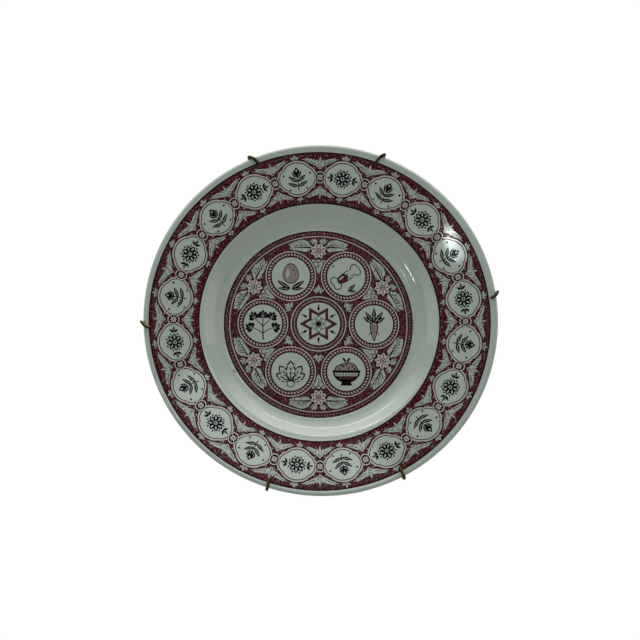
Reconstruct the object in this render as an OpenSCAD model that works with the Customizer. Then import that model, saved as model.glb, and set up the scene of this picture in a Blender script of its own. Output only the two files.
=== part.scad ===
// Seder plate held upright in a spring wire wall hanger.
// The plate's face looks towards -Y, and +Z is up.
// The origin is the middle of the nail that bears in the hanging loop.
// Sizes are in millimetres.

/* [Plate] */
// Diameter over the lip
plate_d = 250; // [236:1:270]
// Diameter of the flat floor of the well
well_d = 133; // [124:1:133]
// Diameter at which the sloping rim starts
rim_d = 170; // [168:1:176]
// Thickness of the pottery
pottery_t = 4; // [3.2:0.1:4.6]
// Slope of the rim in degrees
rim_slope = 9; // [6:0.5:12]
// Height of the rim's start over the well's floor
rim_rise = 9.62; // [9:0.02:9.8]
// Radius of the hollow round the well
hollow_r = 16; // [12:0.5:16]
// Radius of the shoulder where the rim starts
shoulder_r = 5.5; // [5:0.5:6]
// Diameter over the foot ring
foot_d = 150; // [146:1:152]
// Width of the foot ring
foot_w = 3.6; // [3:0.2:4]
// Height of the foot ring under the well
foot_h = 3; // [2.8:0.1:4]

/* [Hanger wire] */
// Diameter of the bent wire
wire_d = 2.2; // [1.5:0.1:2.4]
// Length of the two top claws over the face
top_claw_l = 9; // [8:0.5:14]
// Length of the two side claws over the face
side_claw_l = 7.5; // [6:0.5:12]
// Length of the two bottom claws over the face
bottom_claw_l = 8.5; // [8:0.5:14]
// Turn of the two side claws from their arms, in degrees
side_claw_turn = 10; // [0:1:20]
// Radius of the bends that fold a claw round the lip
claw_bend_r = 2.2; // [1.8:0.1:2.4]
// Radius of the hanging loop, to the middle of its wire
hang_loop_r = 5; // [4.4:0.1:6]
// Radius of the other eyes, to the middle of their wire
eye_r = 4; // [3.6:0.1:4.6]

/* [Hanger layout] */
// Place round the rim of the top left claw, in degrees from +X
top_left_angle = 114.1; // [105:0.1:125]
// Place round the rim of the top right claw
top_right_angle = 69.1; // [55:0.1:78]
// Place round the rim of the left claw
left_angle = 181.5; // [172:0.1:190]
// Place round the rim of the right claw
right_angle = 9; // [0:0.1:16]
// Place round the rim of the bottom left claw
bottom_left_angle = 252.5; // [242:0.1:260]
// Place round the rim of the bottom right claw
bottom_right_angle = 297.2; // [284:0.1:306]
// Distance from the foot ring's inner edge in to the middle of the hanging loop
hang_in = 13.4; // [12:0.2:16]
// Distance between the two bows' loops, middle to middle
main_span = 46; // [42:1:48]
// Distance outside the foot ring at which the two top claws point
top_aim_out = 0.5; // [-10:0.5:10]
// Distance from the foot ring's inner edge in to the left spring's seat on the lower bow
left_seat_in = 11.4; // [9:0.2:14]
// Distance from the foot ring's inner edge in to the right spring's seat
right_seat_in = 24.8; // [22:0.2:27]
// Distance from the foot ring's inner edge in to the left arm's eye
left_eye_in = 5.2; // [5:0.2:7]
// Distance from the foot ring's inner edge in to the right arm's eye
right_eye_in = 11.8; // [10:0.2:14]

/* [Springs] */
// Diameter of the spring wire
spring_wire_d = 1; // [0.8:0.05:1.1]
// Radius of the coils, to the middle of their wire
coil_r = 2.6; // [2.4:0.1:2.8]
// Closest pitch of the coils
coil_pitch = 1.5; // [1.5:0.05:1.8]

/* [Fits] */
// Clearance between the hanger and what it rests on
seat_gap = 0.3; // [0.2:0.05:0.4]
// Clearance between two passes of one wire
wire_gap = 0.6; // [0.5:0.1:1]

/* [Hidden] */
$fn = 72;

// Colours, as the photograph shows them
glaze_colour = [0.60, 0.63, 0.60];
brass_colour = [0.50, 0.44, 0.20];
steel_colour = [0.62, 0.62, 0.60];

// The plate's section. Its z runs from the foot towards the face.
arc_angle = 6;
well_r = well_d / 2;
rim_r = rim_d / 2;
lip_r = pottery_t / 2;
well_z = foot_h + pottery_t;
rim_z = well_z + rim_rise;
hollow_c = [well_r, well_z + hollow_r];
shoulder_c = [rim_r, rim_z] + shoulder_r * [sin(rim_slope), -cos(rim_slope)];
// The straight slope between hollow and shoulder touches both of their circles
hollow_to_shoulder = shoulder_c - hollow_c;
cavetto_slope = asin(min(1, (hollow_r + shoulder_r) / norm(hollow_to_shoulder)))
                + atan2(hollow_to_shoulder[1], hollow_to_shoulder[0]);
lip_c_x = plate_d / 2 - lip_r;
lip_c_z = rim_z + (lip_c_x - lip_r * sin(rim_slope) - rim_r) * tan(rim_slope)
          - lip_r * cos(rim_slope);
lip_c = [lip_c_x, lip_c_z];
plate_h = lip_c_z + lip_r;
foot_r = foot_d / 2;
foot_in_r = foot_r - foot_w;
foot_crest_r = 1.4;
foot_batter = 0.6;

// The hanger's levels. Behind the plate y is positive.
wire_r = wire_d / 2;
flat_y = seat_gap + wire_r;
front_y = -(plate_h + seat_gap + wire_r);
edge_y = -(plate_h - pottery_t) + seat_gap + wire_r;
claw_r = plate_d / 2 + seat_gap + wire_r;
knee_out = 2.2;
knee_bend_r = 6;
knee_r = foot_r + knee_out;
neck_bend_r = 1.8;
arm_neck_bend_r = 2;
kink_h = 2.4;
kink_l = 6;
kink_bend_r = 3;
seat_bend_r = 2;
loop_turn = 45;
eye_end_gap = 0.5;
tip_l = 0.4;
least_run = 0.01;
wire_sides = 12;
bend_angle = 18;
tip_share = 0.6;

// The origin's place in the plate's own frame
hang_z = foot_in_r - hang_in;
low_eye_z = hang_z - main_span;
nail_r = 1.5;
nail_z = hang_z + hang_loop_r * tan(loop_turn / 2) + hang_loop_r - (wire_r + nail_r) / cos(loop_turn);

// The springs
spring_wire_r = spring_wire_d / 2;
curl_rings = 8;
spring_sides = 6;
hook_bend_r = 1.2;
hook_neck = 0.8;
hook_reach = wire_r + seat_gap + spring_wire_r;
hook_rings = 6;
bend_rings = 3;

// Plain vector helpers. The hanger is laid out in the x-z plane.
function unit(v) = v / norm(v);
function at_angle(a) = [cos(a), 0, sin(a)];
function side_of(v) = [v[2], 0, -v[0]];
function at_y(p, y) = [p[0], y, p[2]];
function turned(v, a) = [v[0] * cos(a) - v[2] * sin(a), 0, v[0] * sin(a) + v[2] * cos(a)];
function arc(c, r, from, to, step) =
    [for (i = [0 : ceil(abs(to - from) / step)])
        let (a = from + (to - from) * i / ceil(abs(to - from) / step))
        c + r * [cos(a), sin(a)]];

// A claw's place round the rim, and the way in from it along dir to a circle of radius r
function claw_at(a) = claw_r * at_angle(a);
function way_in(p, dir, r) =
    -(p * dir) - sqrt((p * dir) * (p * dir) - (p * p - r * r));

// The corners of one claw and of the arm behind it, from the tip to the knee.
// The arm runs along dir and the claw over the face along claw_dir.
// Each corner is a point and the radius of its bend.
function claw_path(p, dir, claw_dir, l) = [
    [at_y(p + l * claw_dir, front_y), 0],
    [at_y(p, front_y), claw_bend_r],
    [at_y(p, edge_y), claw_bend_r],
    [at_y(p + way_in(p, dir, knee_r) * dir, flat_y), knee_bend_r]
];

// The four corners of a round loop that opens into a neck on the side neck_dir
function loop_path(c, neck_dir, r) =
    let (m = side_of(neck_dir), a = r * tan(loop_turn / 2))
    [for (k = [[a, 1], [-r, 1], [-r, -1], [a, -1]])
        [at_y(c + k[0] * neck_dir + k[1] * r * m, flat_y), r]];

// The neck's height over the loop, where its two slanted sides would cross
function neck_h(r) = r + r * tan(loop_turn / 2);

// One neck corner: the leg from p bends into the loop's side s and clears the axis
function neck_corner(c, neck_dir, r, p, s) =
    let (m = side_of(neck_dir) * s,
         cross = c + neck_h(r) * neck_dir,
         d_in = unit(at_y(cross, 0) - at_y(p, 0)),
         d_out = unit(m - neck_dir),
         turn = acos(d_in * d_out),
         pull = unit(d_out - d_in) * m * neck_bend_r / cos(turn / 2),
         x = wire_r + wire_gap / 2 + neck_bend_r - pull)
    [at_y(cross + x * (m - neck_dir), flat_y), neck_bend_r];

// A wire's line: straight runs, and an arc of points round each corner
function corner_arc(before, corner, after, r) =
    let (u = unit(corner - before),
         v = unit(after - corner),
         turn = acos(max(-1, min(1, u * v))),
         w = unit(v - (u * v) * u),
         c = corner - r * tan(turn / 2) * u + r * w,
         n = ceil(turn / bend_angle))
    [for (i = [0 : n]) let (a = turn * i / n) c + r * (u * sin(a) - w * cos(a))];

function wire_line(corners) =
    let (last = len(corners) - 1,
         line = [for (i = [0 : last])
                     for (p = (i == 0 || i == last) ? [corners[i][0]]
                          : corner_arc(corners[i - 1][0], corners[i][0],
                                       corners[i + 1][0], corners[i][1])) p])
    [for (i = [0 : len(line) - 1])
        if (i == 0 || norm(line[i] - line[i - 1]) > least_run) line[i]];

// A tube swept along points, its rings carried from one to the next untwisted.
// The first and last ring are cut back by the share end_share.
function tangents(pts) =
    [for (i = [0 : len(pts) - 1])
        unit(pts[min(i + 1, len(pts) - 1)] - pts[max(i - 1, 0)])];
function carried(v, t) = unit(v - (v * t) * t);

module swept_tube(pts, r, first_side, tube_sides, end_share) {
    t = tangents(pts);
    n = len(pts);
    sides = [for (i = 0, v = carried(first_side, t[0]);
                  i < n;
                  i = i + 1, v = i < n ? carried(v, t[i]) : v) v];
    rings = [for (i = [0 : n - 1])
                 for (k = [0 : tube_sides - 1])
                     let (a = 360 * k / tube_sides,
                          ring_r = (i == 0 || i == n - 1) ? r * end_share : r)
                     pts[i] + ring_r * (cos(a) * sides[i] + sin(a) * cross(t[i], sides[i]))];
    walls = [for (i = [0 : n - 2])
                 for (k = [0 : tube_sides - 1])
                     let (k2 = (k + 1) % tube_sides,
                          a = i * tube_sides + k,
                          b = i * tube_sides + k2)
                     for (f = [[a, a + tube_sides, b], [b, a + tube_sides, b + tube_sides]]) f];
    first_cap = [for (k = [1 : tube_sides - 2]) [0, k, k + 1]];
    end = (n - 1) * tube_sides;
    last_cap = [for (k = [1 : tube_sides - 2]) [end, end + k + 1, end + k]];
    polyhedron(points = rings, faces = concat(walls, first_cap, last_cap), convexity = 10);
}

// A bent wire, with a short chamfer at each cut end
module bent_wire(corners) {
    line = wire_line(corners);
    last = len(line) - 1;
    cut = concat(
        [line[0], line[0] + tip_l * unit(line[1] - line[0])],
        [for (i = [1 : last - 1]) line[i]],
        [line[last] + tip_l * unit(line[last - 1] - line[last]), line[last]]
    );
    swept_tube(cut, wire_r, [0, 1, 0], wire_sides, tip_share);
}

function reversed(list) = [for (i = [len(list) - 1 : -1 : 0]) list[i]];

// The lower bow's legs, and the kinks on which the side springs are seated
low_c = [0, flat_y, low_eye_z];
low_neck = [0, 0, -1];
bottom_left_p = claw_at(bottom_left_angle);
bottom_right_p = claw_at(bottom_right_angle);
low_cross = [0, 0, low_eye_z - neck_h(eye_r)];
left_leg_dir = unit(low_cross - bottom_left_p);
right_leg_dir = unit(low_cross - bottom_right_p);
left_kink = bottom_left_p
            + way_in(bottom_left_p, left_leg_dir, foot_in_r - left_seat_in) * left_leg_dir;
right_kink = bottom_right_p
             + way_in(bottom_right_p, right_leg_dir, foot_in_r - right_seat_in) * right_leg_dir;
left_out = -side_of(left_leg_dir);
right_out = side_of(right_leg_dir);

function kink_path(p, dir, out) = [
    [at_y(p - kink_l * dir, flat_y), kink_bend_r],
    [at_y(p + kink_h * out, flat_y), seat_bend_r],
    [at_y(p + kink_l * dir, flat_y), kink_bend_r]
];

// The middle of the wire at a kink's seat, inside the corner by the bend's sagitta
seat_turn = 2 * atan(kink_h / kink_l);
seat_in = kink_h - seat_bend_r * (1 / cos(seat_turn / 2) - 1);
left_seat = left_kink + seat_in * left_out;
right_seat = right_kink + seat_in * right_out;

// The upper bow
high_c = [0, flat_y, hang_z];
high_neck = [0, 0, 1];
top_left_p = claw_at(top_left_angle);
top_right_p = claw_at(top_right_angle);
high_cross = [0, 0, hang_z + neck_h(hang_loop_r)];
top_aim = [0, 0, foot_r + top_aim_out];

// The side arms point from their claws at the seats on the lower bow
left_p = claw_at(left_angle);
right_p = claw_at(right_angle);
left_dir = unit(left_seat - left_p);
right_dir = unit(right_seat - right_p);
left_eye_c = left_p + way_in(left_p, left_dir, foot_in_r - left_eye_in) * left_dir;
right_eye_c = right_p + way_in(right_p, right_dir, foot_in_r - right_eye_in) * right_dir;

module placed() {
    translate([0, -flat_y, -nail_z])
        children();
}

module plate() {
    face = concat(
        [[0, well_z]],
        arc(hollow_c, hollow_r, -90, cavetto_slope - 90, arc_angle),
        arc(shoulder_c, shoulder_r, 90 + cavetto_slope, 90 + rim_slope, arc_angle),
        arc(lip_c, lip_r, 90 + rim_slope, rim_slope - 90, 4 * arc_angle)
    );
    back = concat(
        arc(shoulder_c, shoulder_r - pottery_t, 90 + rim_slope, 90 + cavetto_slope, 2 * arc_angle),
        arc(hollow_c, hollow_r + pottery_t, cavetto_slope - 90, -90, arc_angle)
    );
    foot = concat(
        arc([foot_r - foot_crest_r, foot_crest_r], foot_crest_r, 0, -90, 3 * arc_angle),
        arc([foot_in_r + foot_crest_r, foot_crest_r], foot_crest_r, -90, -180, 3 * arc_angle)
    );
    section = concat(
        face,
        [for (p = back) if (p[0] > foot_r + foot_batter) p],
        foot,
        [for (p = back) if (p[0] < foot_in_r - foot_batter) p],
        [[0, foot_h]]
    );
    color(glaze_colour)
        placed()
            rotate([90, 0, 0])
                rotate_extrude($fn = 144)
                    polygon(section);
}

module lower_bow() {
    left_claw = claw_path(bottom_left_p, left_leg_dir, left_leg_dir, bottom_claw_l);
    right_claw = claw_path(bottom_right_p, right_leg_dir, right_leg_dir, bottom_claw_l);
    path = concat(
        left_claw,
        kink_path(left_kink, left_leg_dir, left_out),
        [neck_corner(low_c, low_neck, eye_r, bottom_left_p, 1)],
        loop_path(low_c, low_neck, eye_r),
        [neck_corner(low_c, low_neck, eye_r, bottom_right_p, -1)],
        reversed(kink_path(right_kink, right_leg_dir, right_out)),
        reversed(right_claw)
    );
    color(brass_colour)
        placed()
            bent_wire(path);
}

module upper_bow() {
    right_claw = claw_path(top_right_p, unit(high_cross - top_right_p),
                           unit(top_aim - top_right_p), top_claw_l);
    left_claw = claw_path(top_left_p, unit(high_cross - top_left_p),
                          unit(top_aim - top_left_p), top_claw_l);
    path = concat(
        right_claw,
        [neck_corner(high_c, high_neck, hang_loop_r, top_right_p, 1)],
        loop_path(high_c, high_neck, hang_loop_r),
        [neck_corner(high_c, high_neck, hang_loop_r, top_left_p, -1)],
        reversed(left_claw)
    );
    color(brass_colour)
        placed()
            bent_wire(path);
}

// A side arm ends in an eye that is closed but for a small gap at its shank
module side_arm(p, dir, eye_c, claw_turn) {
    eye = loop_path(eye_c, -dir, eye_r);
    neck = at_y(eye_c - neck_h(eye_r) * dir, flat_y);
    end_l = (wire_r + wire_r * cos(loop_turn) + eye_end_gap) / sin(loop_turn);
    last = eye[3][0];
    path = concat(
        claw_path(p, dir, turned(dir, claw_turn), side_claw_l),
        [[neck, arm_neck_bend_r]],
        eye,
        [[neck + end_l * unit(last - neck), 0]]
    );
    color(brass_colour)
        placed()
            bent_wire(path);
}

module left_arm() {
    side_arm(left_p, left_dir, left_eye_c, -side_claw_turn);
}

module right_arm() {
    side_arm(right_p, right_dir, right_eye_c, side_claw_turn);
}

// An extension spring is one wire: hook, coils, hook. Its line is worked out
// along +Z, with the hooks in the y-z plane, for a length l over both hooks.
hook_l = coil_r + hook_neck + hook_bend_r;
bend_a = hook_bend_r / coil_r * 180 / PI;

function hook_line() = concat(
    [[0, -coil_r, coil_r + spring_wire_d]],
    [for (i = [0 : hook_rings])
        let (a = 180 + 180 * i / hook_rings)
        [0, coil_r * cos(a), coil_r + coil_r * sin(a)]],
    [for (i = [0 : bend_rings - 1])
        let (t = 90 * i / bend_rings,
             a = 90 + bend_a * (1 - cos(t)))
        [coil_r * cos(a), coil_r * sin(a), coil_r + hook_neck + hook_bend_r * sin(t)]]
);

function coil_count(l) = floor((l - 2 * hook_l) / coil_pitch);

function coil_line(l) =
    let (n = coil_count(l),
         from = 90 + bend_a,
         to = 90 + 360 * n - bend_a,
         steps = n * curl_rings)
    [for (i = [0 : steps])
        let (a = from + (to - from) * i / steps)
        [coil_r * cos(a), coil_r * sin(a), hook_l + (l - 2 * hook_l) * i / steps]];

// The second hook is the first turned over about the Y axis at half length
function turned_over(pts, l) = [for (p = reversed(pts)) [-p[0], p[1], l - p[2]]];
function spring_line(l) = concat(hook_line(), coil_line(l), turned_over(hook_line(), l));

// The least gap between two stretches of one spring's wire, over half a curl apart
function least_gap(pts, d) =
    min([for (i = [0 : len(pts) - 1])
             for (j = [i + curl_rings - 2 : 1 : len(pts) - 1])
                 norm(pts[i] - pts[j])]) - d;

// Children drawn along +Z are turned to run from one point towards another
module along(from, to) {
    d = to - from;
    translate(from)
        rotate([0, atan2(norm([d[0], d[1]]), d[2]), atan2(d[1], d[0])])
            children();
}

module spring(from, to) {
    axis = unit(to - from);
    start = from - hook_reach * axis;
    l = norm(to - from) + 2 * hook_reach;
    line = spring_line(l);
    echo(curls = coil_count(l), least_gap = least_gap(line, spring_wire_d));
    color(steel_colour)
        placed()
            along(start, to)
                swept_tube(line, spring_wire_r, [1, 0, 0], spring_sides, 1);
}

module main_spring() {
    spring(low_c - eye_r * low_neck, high_c - hang_loop_r * high_neck);
}

module left_spring() {
    spring(at_y(left_eye_c + eye_r * left_dir, flat_y), at_y(left_seat, flat_y));
}

module right_spring() {
    spring(at_y(right_eye_c + eye_r * right_dir, flat_y), at_y(right_seat, flat_y));
}

plate();
lower_bow();
upper_bow();
left_arm();
right_arm();
main_spring();
left_spring();
right_spring();
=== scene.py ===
"""Dresses the wall-hung seder plate: printed glaze, brass wire and springs."""
import math
from types import SimpleNamespace

import bpy
import numpy as np
from bpy.props import (FloatProperty, FloatVectorProperty, IntProperty,
                       PointerProperty)
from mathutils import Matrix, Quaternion, Vector
from mathutils.geometry import delaunay_2d_cdt


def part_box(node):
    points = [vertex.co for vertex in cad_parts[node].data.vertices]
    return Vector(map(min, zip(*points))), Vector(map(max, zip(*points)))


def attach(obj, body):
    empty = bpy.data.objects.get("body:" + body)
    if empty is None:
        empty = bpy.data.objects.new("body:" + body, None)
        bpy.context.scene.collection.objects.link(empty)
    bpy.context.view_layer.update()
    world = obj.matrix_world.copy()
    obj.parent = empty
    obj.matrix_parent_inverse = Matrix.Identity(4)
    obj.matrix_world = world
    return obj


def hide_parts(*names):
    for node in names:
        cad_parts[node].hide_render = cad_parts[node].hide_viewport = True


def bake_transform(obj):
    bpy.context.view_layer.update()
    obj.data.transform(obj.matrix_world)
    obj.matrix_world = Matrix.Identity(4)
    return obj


bl_info = {
    "name": "Seder plate dressing",
    "version": (1, 0, 0),
    "blender": (4, 5, 0),
    "location": "3D View > Sidebar > Plate",
    "description": "Printed pottery plate in a spring wire wall hanger",
    "category": "Add Mesh",
}

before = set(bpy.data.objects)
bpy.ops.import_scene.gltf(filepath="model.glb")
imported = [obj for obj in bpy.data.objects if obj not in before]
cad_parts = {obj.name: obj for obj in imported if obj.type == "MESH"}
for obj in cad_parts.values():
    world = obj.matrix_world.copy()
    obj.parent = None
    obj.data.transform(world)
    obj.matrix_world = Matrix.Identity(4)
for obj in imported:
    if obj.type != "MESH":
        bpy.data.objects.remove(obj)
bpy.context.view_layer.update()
PLATE_LOW, PLATE_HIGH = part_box("plate")
MM = 0.001
PLATE_X = (PLATE_LOW.x + PLATE_HIGH.x) / 2
PLATE_Z = (PLATE_LOW.z + PLATE_HIGH.z) / 2
FOOT_Y = PLATE_HIGH.y
PLATE_R = (PLATE_HIGH.x - PLATE_LOW.x) / 2 / MM

# Each bent wire's body, the bow of its claws, and its corners with the radius of
# each bend, in millimetres in the part's frame, as the part's source gives them.
WIRES = {
    "upper_bow": ("hanger_top", 1.0, (
        (38.548, -25.414, 50.51, 0), (45.092, -25.414, 56.689, 2.2),
        (45.092, -18.614, 56.689, 2.2), (9.787, 0, 15.183, 6), (0.753, 0, 2.924, 1.8),
        (5, 0, -1.323, 5), (5, 0, -8.394, 5), (-5, 0, -8.394, 5), (-5, 0, -1.323, 5),
        (-0.638, 0, 3.039, 1.8), (-11.551, 0, 14.937, 6), (-51.613, -18.614, 53.988, 2.2),
        (-51.613, -25.414, 53.988, 2.2), (-44.491, -25.414, 48.485, 0))),
    "lower_bow": ("plate_and_lower_bow", 0.4, (
        (-35.57, -25.414, -173.801, 0), (-38.009, -25.414, -181.944, 2.2),
        (-38.009, -18.614, -181.944, 2.2), (-23.889, 0, -134.805, 6),
        (-20.674, 0, -124.07, 3), (-21.251, 0, -117.634, 2), (-17.23, 0, -112.575, 3),
        (-1.167, 0, -53.884, 1.8), (-4, 0, -51.051, 4), (-4, 0, -45.394, 4),
        (4, 0, -45.394, 4), (4, 0, -51.051, 4), (1.02, 0, -54.031, 1.8),
        (20.22, 0, -96.615, 3), (25.003, 0, -100.96, 2), (25.47, 0, -107.406, 3),
        (36.246, 0, -129.556, 6), (57.777, -18.614, -173.816, 2.2),
        (57.777, -25.414, -173.816, 2.2), (54.059, -25.414, -166.173, 0))),
    "left_arm": ("left_side", -1.2, (
        (-120.345, -25.414, -69.187, 0), (-126.357, -25.414, -64.703, 2.2),
        (-126.357, -18.614, -64.703, 2.2), (-70.521, 0, -92.806, 6),
        (-57.357, 0, -99.431, 2), (-51.985, 0, -97.657, 4), (-46.932, 0, -100.2, 4),
        (-50.529, 0, -107.346, 4), (-55.582, 0, -104.803, 4), (-56.302, 0, -102.624, 0))),
    "right_arm": ("right_side", -1.2, (
        (119.159, -25.414, -46.513, 0), (124.844, -25.414, -41.621, 2.2),
        (124.844, -18.614, -41.621, 2.2), (76.692, 0, -70.232, 6), (60.511, 0, -79.847, 2),
        (59.115, 0, -85.329, 4), (54.252, 0, -88.219, 4), (50.166, 0, -81.341, 4),
        (55.029, 0, -78.452, 4), (57.252, 0, -79.017, 0))),
}
# The middles of the two wires that each spring hooks round, then their bodies.
SPRINGS = {
    "main_spring": ((0, 0, -8.394), (0, 0, -45.394),
                    "hanger_top", "plate_and_lower_bow"),
    "left_spring": ((-21.1036, 0, -117.6777), (-48.7306, 0, -103.7728),
                    "plate_and_lower_bow", "left_side"),
    "right_spring": ((24.8645, 0, -101.0277), (52.2089, 0, -84.7798),
                     "plate_and_lower_bow", "right_side"),
}


def length(name, default, description):
    """A length property, whose default is given in millimetres."""
    return FloatProperty(name=name, default=default * MM, min=0.0, precision=4,
                         subtype="DISTANCE", unit="LENGTH", description=description)


def angle(name, degrees, description):
    """An angle property, whose default is given in degrees."""
    return FloatProperty(name=name, default=math.radians(degrees), subtype="ANGLE",
                         description=description)


def off_centre(name, default, what):
    """A property that says how far a part of the print lies off centre, across and up."""
    return FloatVectorProperty(name=name, size=2, default=default,
                               description=f"How far {what} was laid off centre, in "
                                           "millimetres")


def in_mm(settings):
    """A property group's values as a plain namespace, its lengths in millimetres."""
    made = SimpleNamespace()
    for prop in settings.bl_rna.properties:
        if prop.identifier in ("rna_type", "name"):
            continue
        value = getattr(settings, prop.identifier)
        if getattr(prop, "unit", "") == "LENGTH":
            value = round(value / MM, 4)
        setattr(made, prop.identifier, value)
    return made


def colour(name, default, description):
    """A colour property, written as it should look."""
    return FloatVectorProperty(name=name, default=default, size=3, min=0, max=1,
                               subtype="COLOR_GAMMA", description=description)


class PlateSizes(bpy.types.PropertyGroup):
    """The pottery's sizes."""
    well_r: length("Well radius", 66.5, "Radius of the flat floor of the well")
    rim_r: length("Rim radius", 85.0, "Radius at which the sloping rim starts")
    wall: length("Wall", 4.0, "Thickness of the pottery")
    rim_slope: angle("Rim slope", 9, "Slope of the rim")
    rim_rise: length("Rim rise", 9.62, "Height of the rim's start over the well's floor")
    hollow_r: length("Hollow", 16.0, "Radius of the hollow round the well")
    shoulder_r: length("Shoulder", 5.5, "Radius of the shoulder where the rim starts")
    foot_r: length("Foot radius", 75.0, "Radius over the foot ring")
    foot_w: length("Foot width", 3.6, "Width of the foot ring")
    foot_h: length("Foot height", 3.0, "Height of the foot ring under the well")
    around: IntProperty(name="Steps round", default=480, min=96,
                        description="Steps round the plate, a multiple of 60")


class PrintSizes(bpy.types.PropertyGroup):
    """The transfer print's sizes."""
    rim_in: length("Rim print inside", 84.7, "Inner radius of the rim's print")
    rim_out: length("Rim print outside", 120.5, "Outer radius of the rim's print")
    rim_mid: length("Medallion circle", 103.0, "Radius on which the medallions sit")
    pairs: IntProperty(name="Medallion pairs", default=10, min=2,
                       description="Pairs of medallions round the rim, a divisor of the "
                                   "plate's steps round")
    well_out: length("Well print", 67.2, "Radius of the print in the well")
    roundel_at: length("Roundel circle", 39.5, "Radius on which the six roundels sit")
    roundel_r: length("Roundel radius", 18.5, "Radius over one roundel")
    rim_shift_out: off_centre("Rim shift outside", (-0.84, -0.96),
                              "the rim print's outer edge")
    rim_shift_in: off_centre("Rim shift inside", (-1.06, -1.63),
                             "the rim print's inner edge")
    well_shift: off_centre("Well shift", (-1.41, -1.90), "the well's print")


class WireSizes(bpy.types.PropertyGroup):
    """The hanger's sizes."""
    wire_r: length("Wire radius", 1.1, "Radius of the bent brass wire")
    spring_wire_r: length("Spring wire radius", 0.5, "Radius of the springs' wire")
    coil_r: length("Coil radius", 2.6, "Radius of the coils to the middle of their wire")
    coil_pitch: length("Coil pitch", 1.5, "Closest pitch of the coils")
    hook_reach: length("Hook reach", 1.9, "From the middle of a hook's wire to the "
                                          "middle of the wire that it holds")


class Finishes(bpy.types.PropertyGroup):
    """The colours of the finishes."""
    glaze: colour("Glaze", (0.545, 0.588, 0.553), "The pale grey-green glaze")
    line: colour("Line ink", (0.050, 0.002, 0.014), "The ink of lines and motifs")
    ground: colour("Ground ink", (0.235, 0.020, 0.060), "The ink of the stippled ground")
    tint: colour("Tint", (0.330, 0.080, 0.115), "The thin ink that shades the foods")
    blush: colour("Blush", (0.590, 0.553, 0.545), "The glaze left open between lines")
    biscuit: colour("Biscuit", (0.62, 0.57, 0.50), "The bare pottery of the foot's crest")
    brass: colour("Brass", (0.42, 0.37, 0.085), "The hanger's wire where it is rubbed")
    # Real tarnish in the wire's dull patches, and also the colour of its painted shade:
    # more of it higher up, and a fifth of it underneath.
    tarnish_and_shade: colour("Tarnish", (0.11, 0.098, 0.017), "The hanger's wire where it is dull")
    steel: colour("Spring steel", (0.60, 0.60, 0.58), "The springs' wire")


class StageSettings(bpy.types.PropertyGroup):
    """The camera and the floor."""
    azimuth: angle("Azimuth", -2.7, "The camera's place round the plate")
    elevation: angle("Elevation", -8.5, "The camera's height over the plate's axis")
    distance: FloatProperty(name="Distance", default=1.5, unit="LENGTH",
                            description="From the camera to the plate")
    view_width: FloatProperty(name="View width", default=0.4525, unit="LENGTH",
                              description="Width of the view at the plate")
    floor_drop: FloatProperty(name="Floor drop", default=0.36, unit="LENGTH",
                              description="From the plate's middle down to the floor")


# Colour and node helpers ---------------------------------------------------

SPECK, CRACK = (0.07, 0.05, 0.04, 1), (0.16, 0.13, 0.10, 1)


def linear(c):
    """A colour as it should look, as the shader takes it."""
    return tuple(v / 12.92 if v <= 0.04045 else ((v + 0.055) / 1.055) ** 2.4 for v in c)


def rgba(c):
    """A colour as it should look, for a colour socket."""
    return (*linear(c), 1.0)


class Nodes:
    """Short calls to build a node tree."""

    def __init__(self, tree):
        self.tree = tree

    def add(self, kind, values=(), **settings):
        node = self.tree.nodes.new(kind)
        for name, value in settings.items():
            setattr(node, name, value)
        for key, value in dict(values).items():
            if isinstance(value, bpy.types.NodeSocket):
                self.feed(node.inputs[key], value)
            else:
                node.inputs[key].default_value = value
        return node

    def feed(self, socket, value):
        self.tree.links.new(value, socket)

    def at(self, kind="Object"):
        """Where on the piece: its own place, or its normal."""
        return self.add("ShaderNodeTexCoord").outputs[kind]

    def upward(self, vector):
        return self.add("ShaderNodeSeparateXYZ", {0: vector}).outputs[2]

    def math(self, operation, a, b=0.0, clamp=False):
        return self.add("ShaderNodeMath", {0: a, 1: b}, operation=operation,
                        use_clamp=clamp).outputs[0]

    def plus(self, a, b, clamp=False):
        return self.math("ADD", a, b, clamp)

    def times(self, a, b, clamp=False):
        return self.math("MULTIPLY", a, b, clamp)

    def about(self, value, middle, reach):
        """The value's distance from its middle, times reach."""
        return self.times(self.math("SUBTRACT", value, middle), reach)

    def vector(self, operation, values):
        return self.add("ShaderNodeVectorMath", values, operation=operation).outputs[0]

    def mix(self, share, a, b):
        return self.add("ShaderNodeMix", {0: share, 6: a, 7: b},
                        data_type="RGBA").outputs[2]

    def ramp(self, value, low, high):
        return self.add("ShaderNodeMapRange", {0: value, 1: low, 2: high},
                        clamp=True).outputs[0]

    def noise(self, at, scale, detail=3.0, rough=0.5):
        return self.add("ShaderNodeTexNoise", {"Vector": at, "Scale": scale,
                                               "Detail": detail,
                                               "Roughness": rough}).outputs[0]

    def cells(self, at, scale, **settings):
        return self.add("ShaderNodeTexVoronoi", {"Vector": at, "Scale": scale},
                        **settings).outputs[0]


def group(name, inputs):
    """A new shader node group that makes a surface's color, roughness and height from
    these inputs, with its node helper."""
    tree = bpy.data.node_groups.new(name, "ShaderNodeTree")
    for label, kind, default in inputs:
        socket = tree.interface.new_socket(label, in_out="INPUT", socket_type=kind)
        socket.default_value = default
    for label, kind in (("Color", "NodeSocketColor"), ("Roughness", "NodeSocketFloat"),
                        ("Height", "NodeSocketFloat")):
        tree.interface.new_socket(label, in_out="OUTPUT", socket_type=kind)
    n = Nodes(tree)
    return n, n.add("NodeGroupInput"), n.add("NodeGroupOutput")


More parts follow.
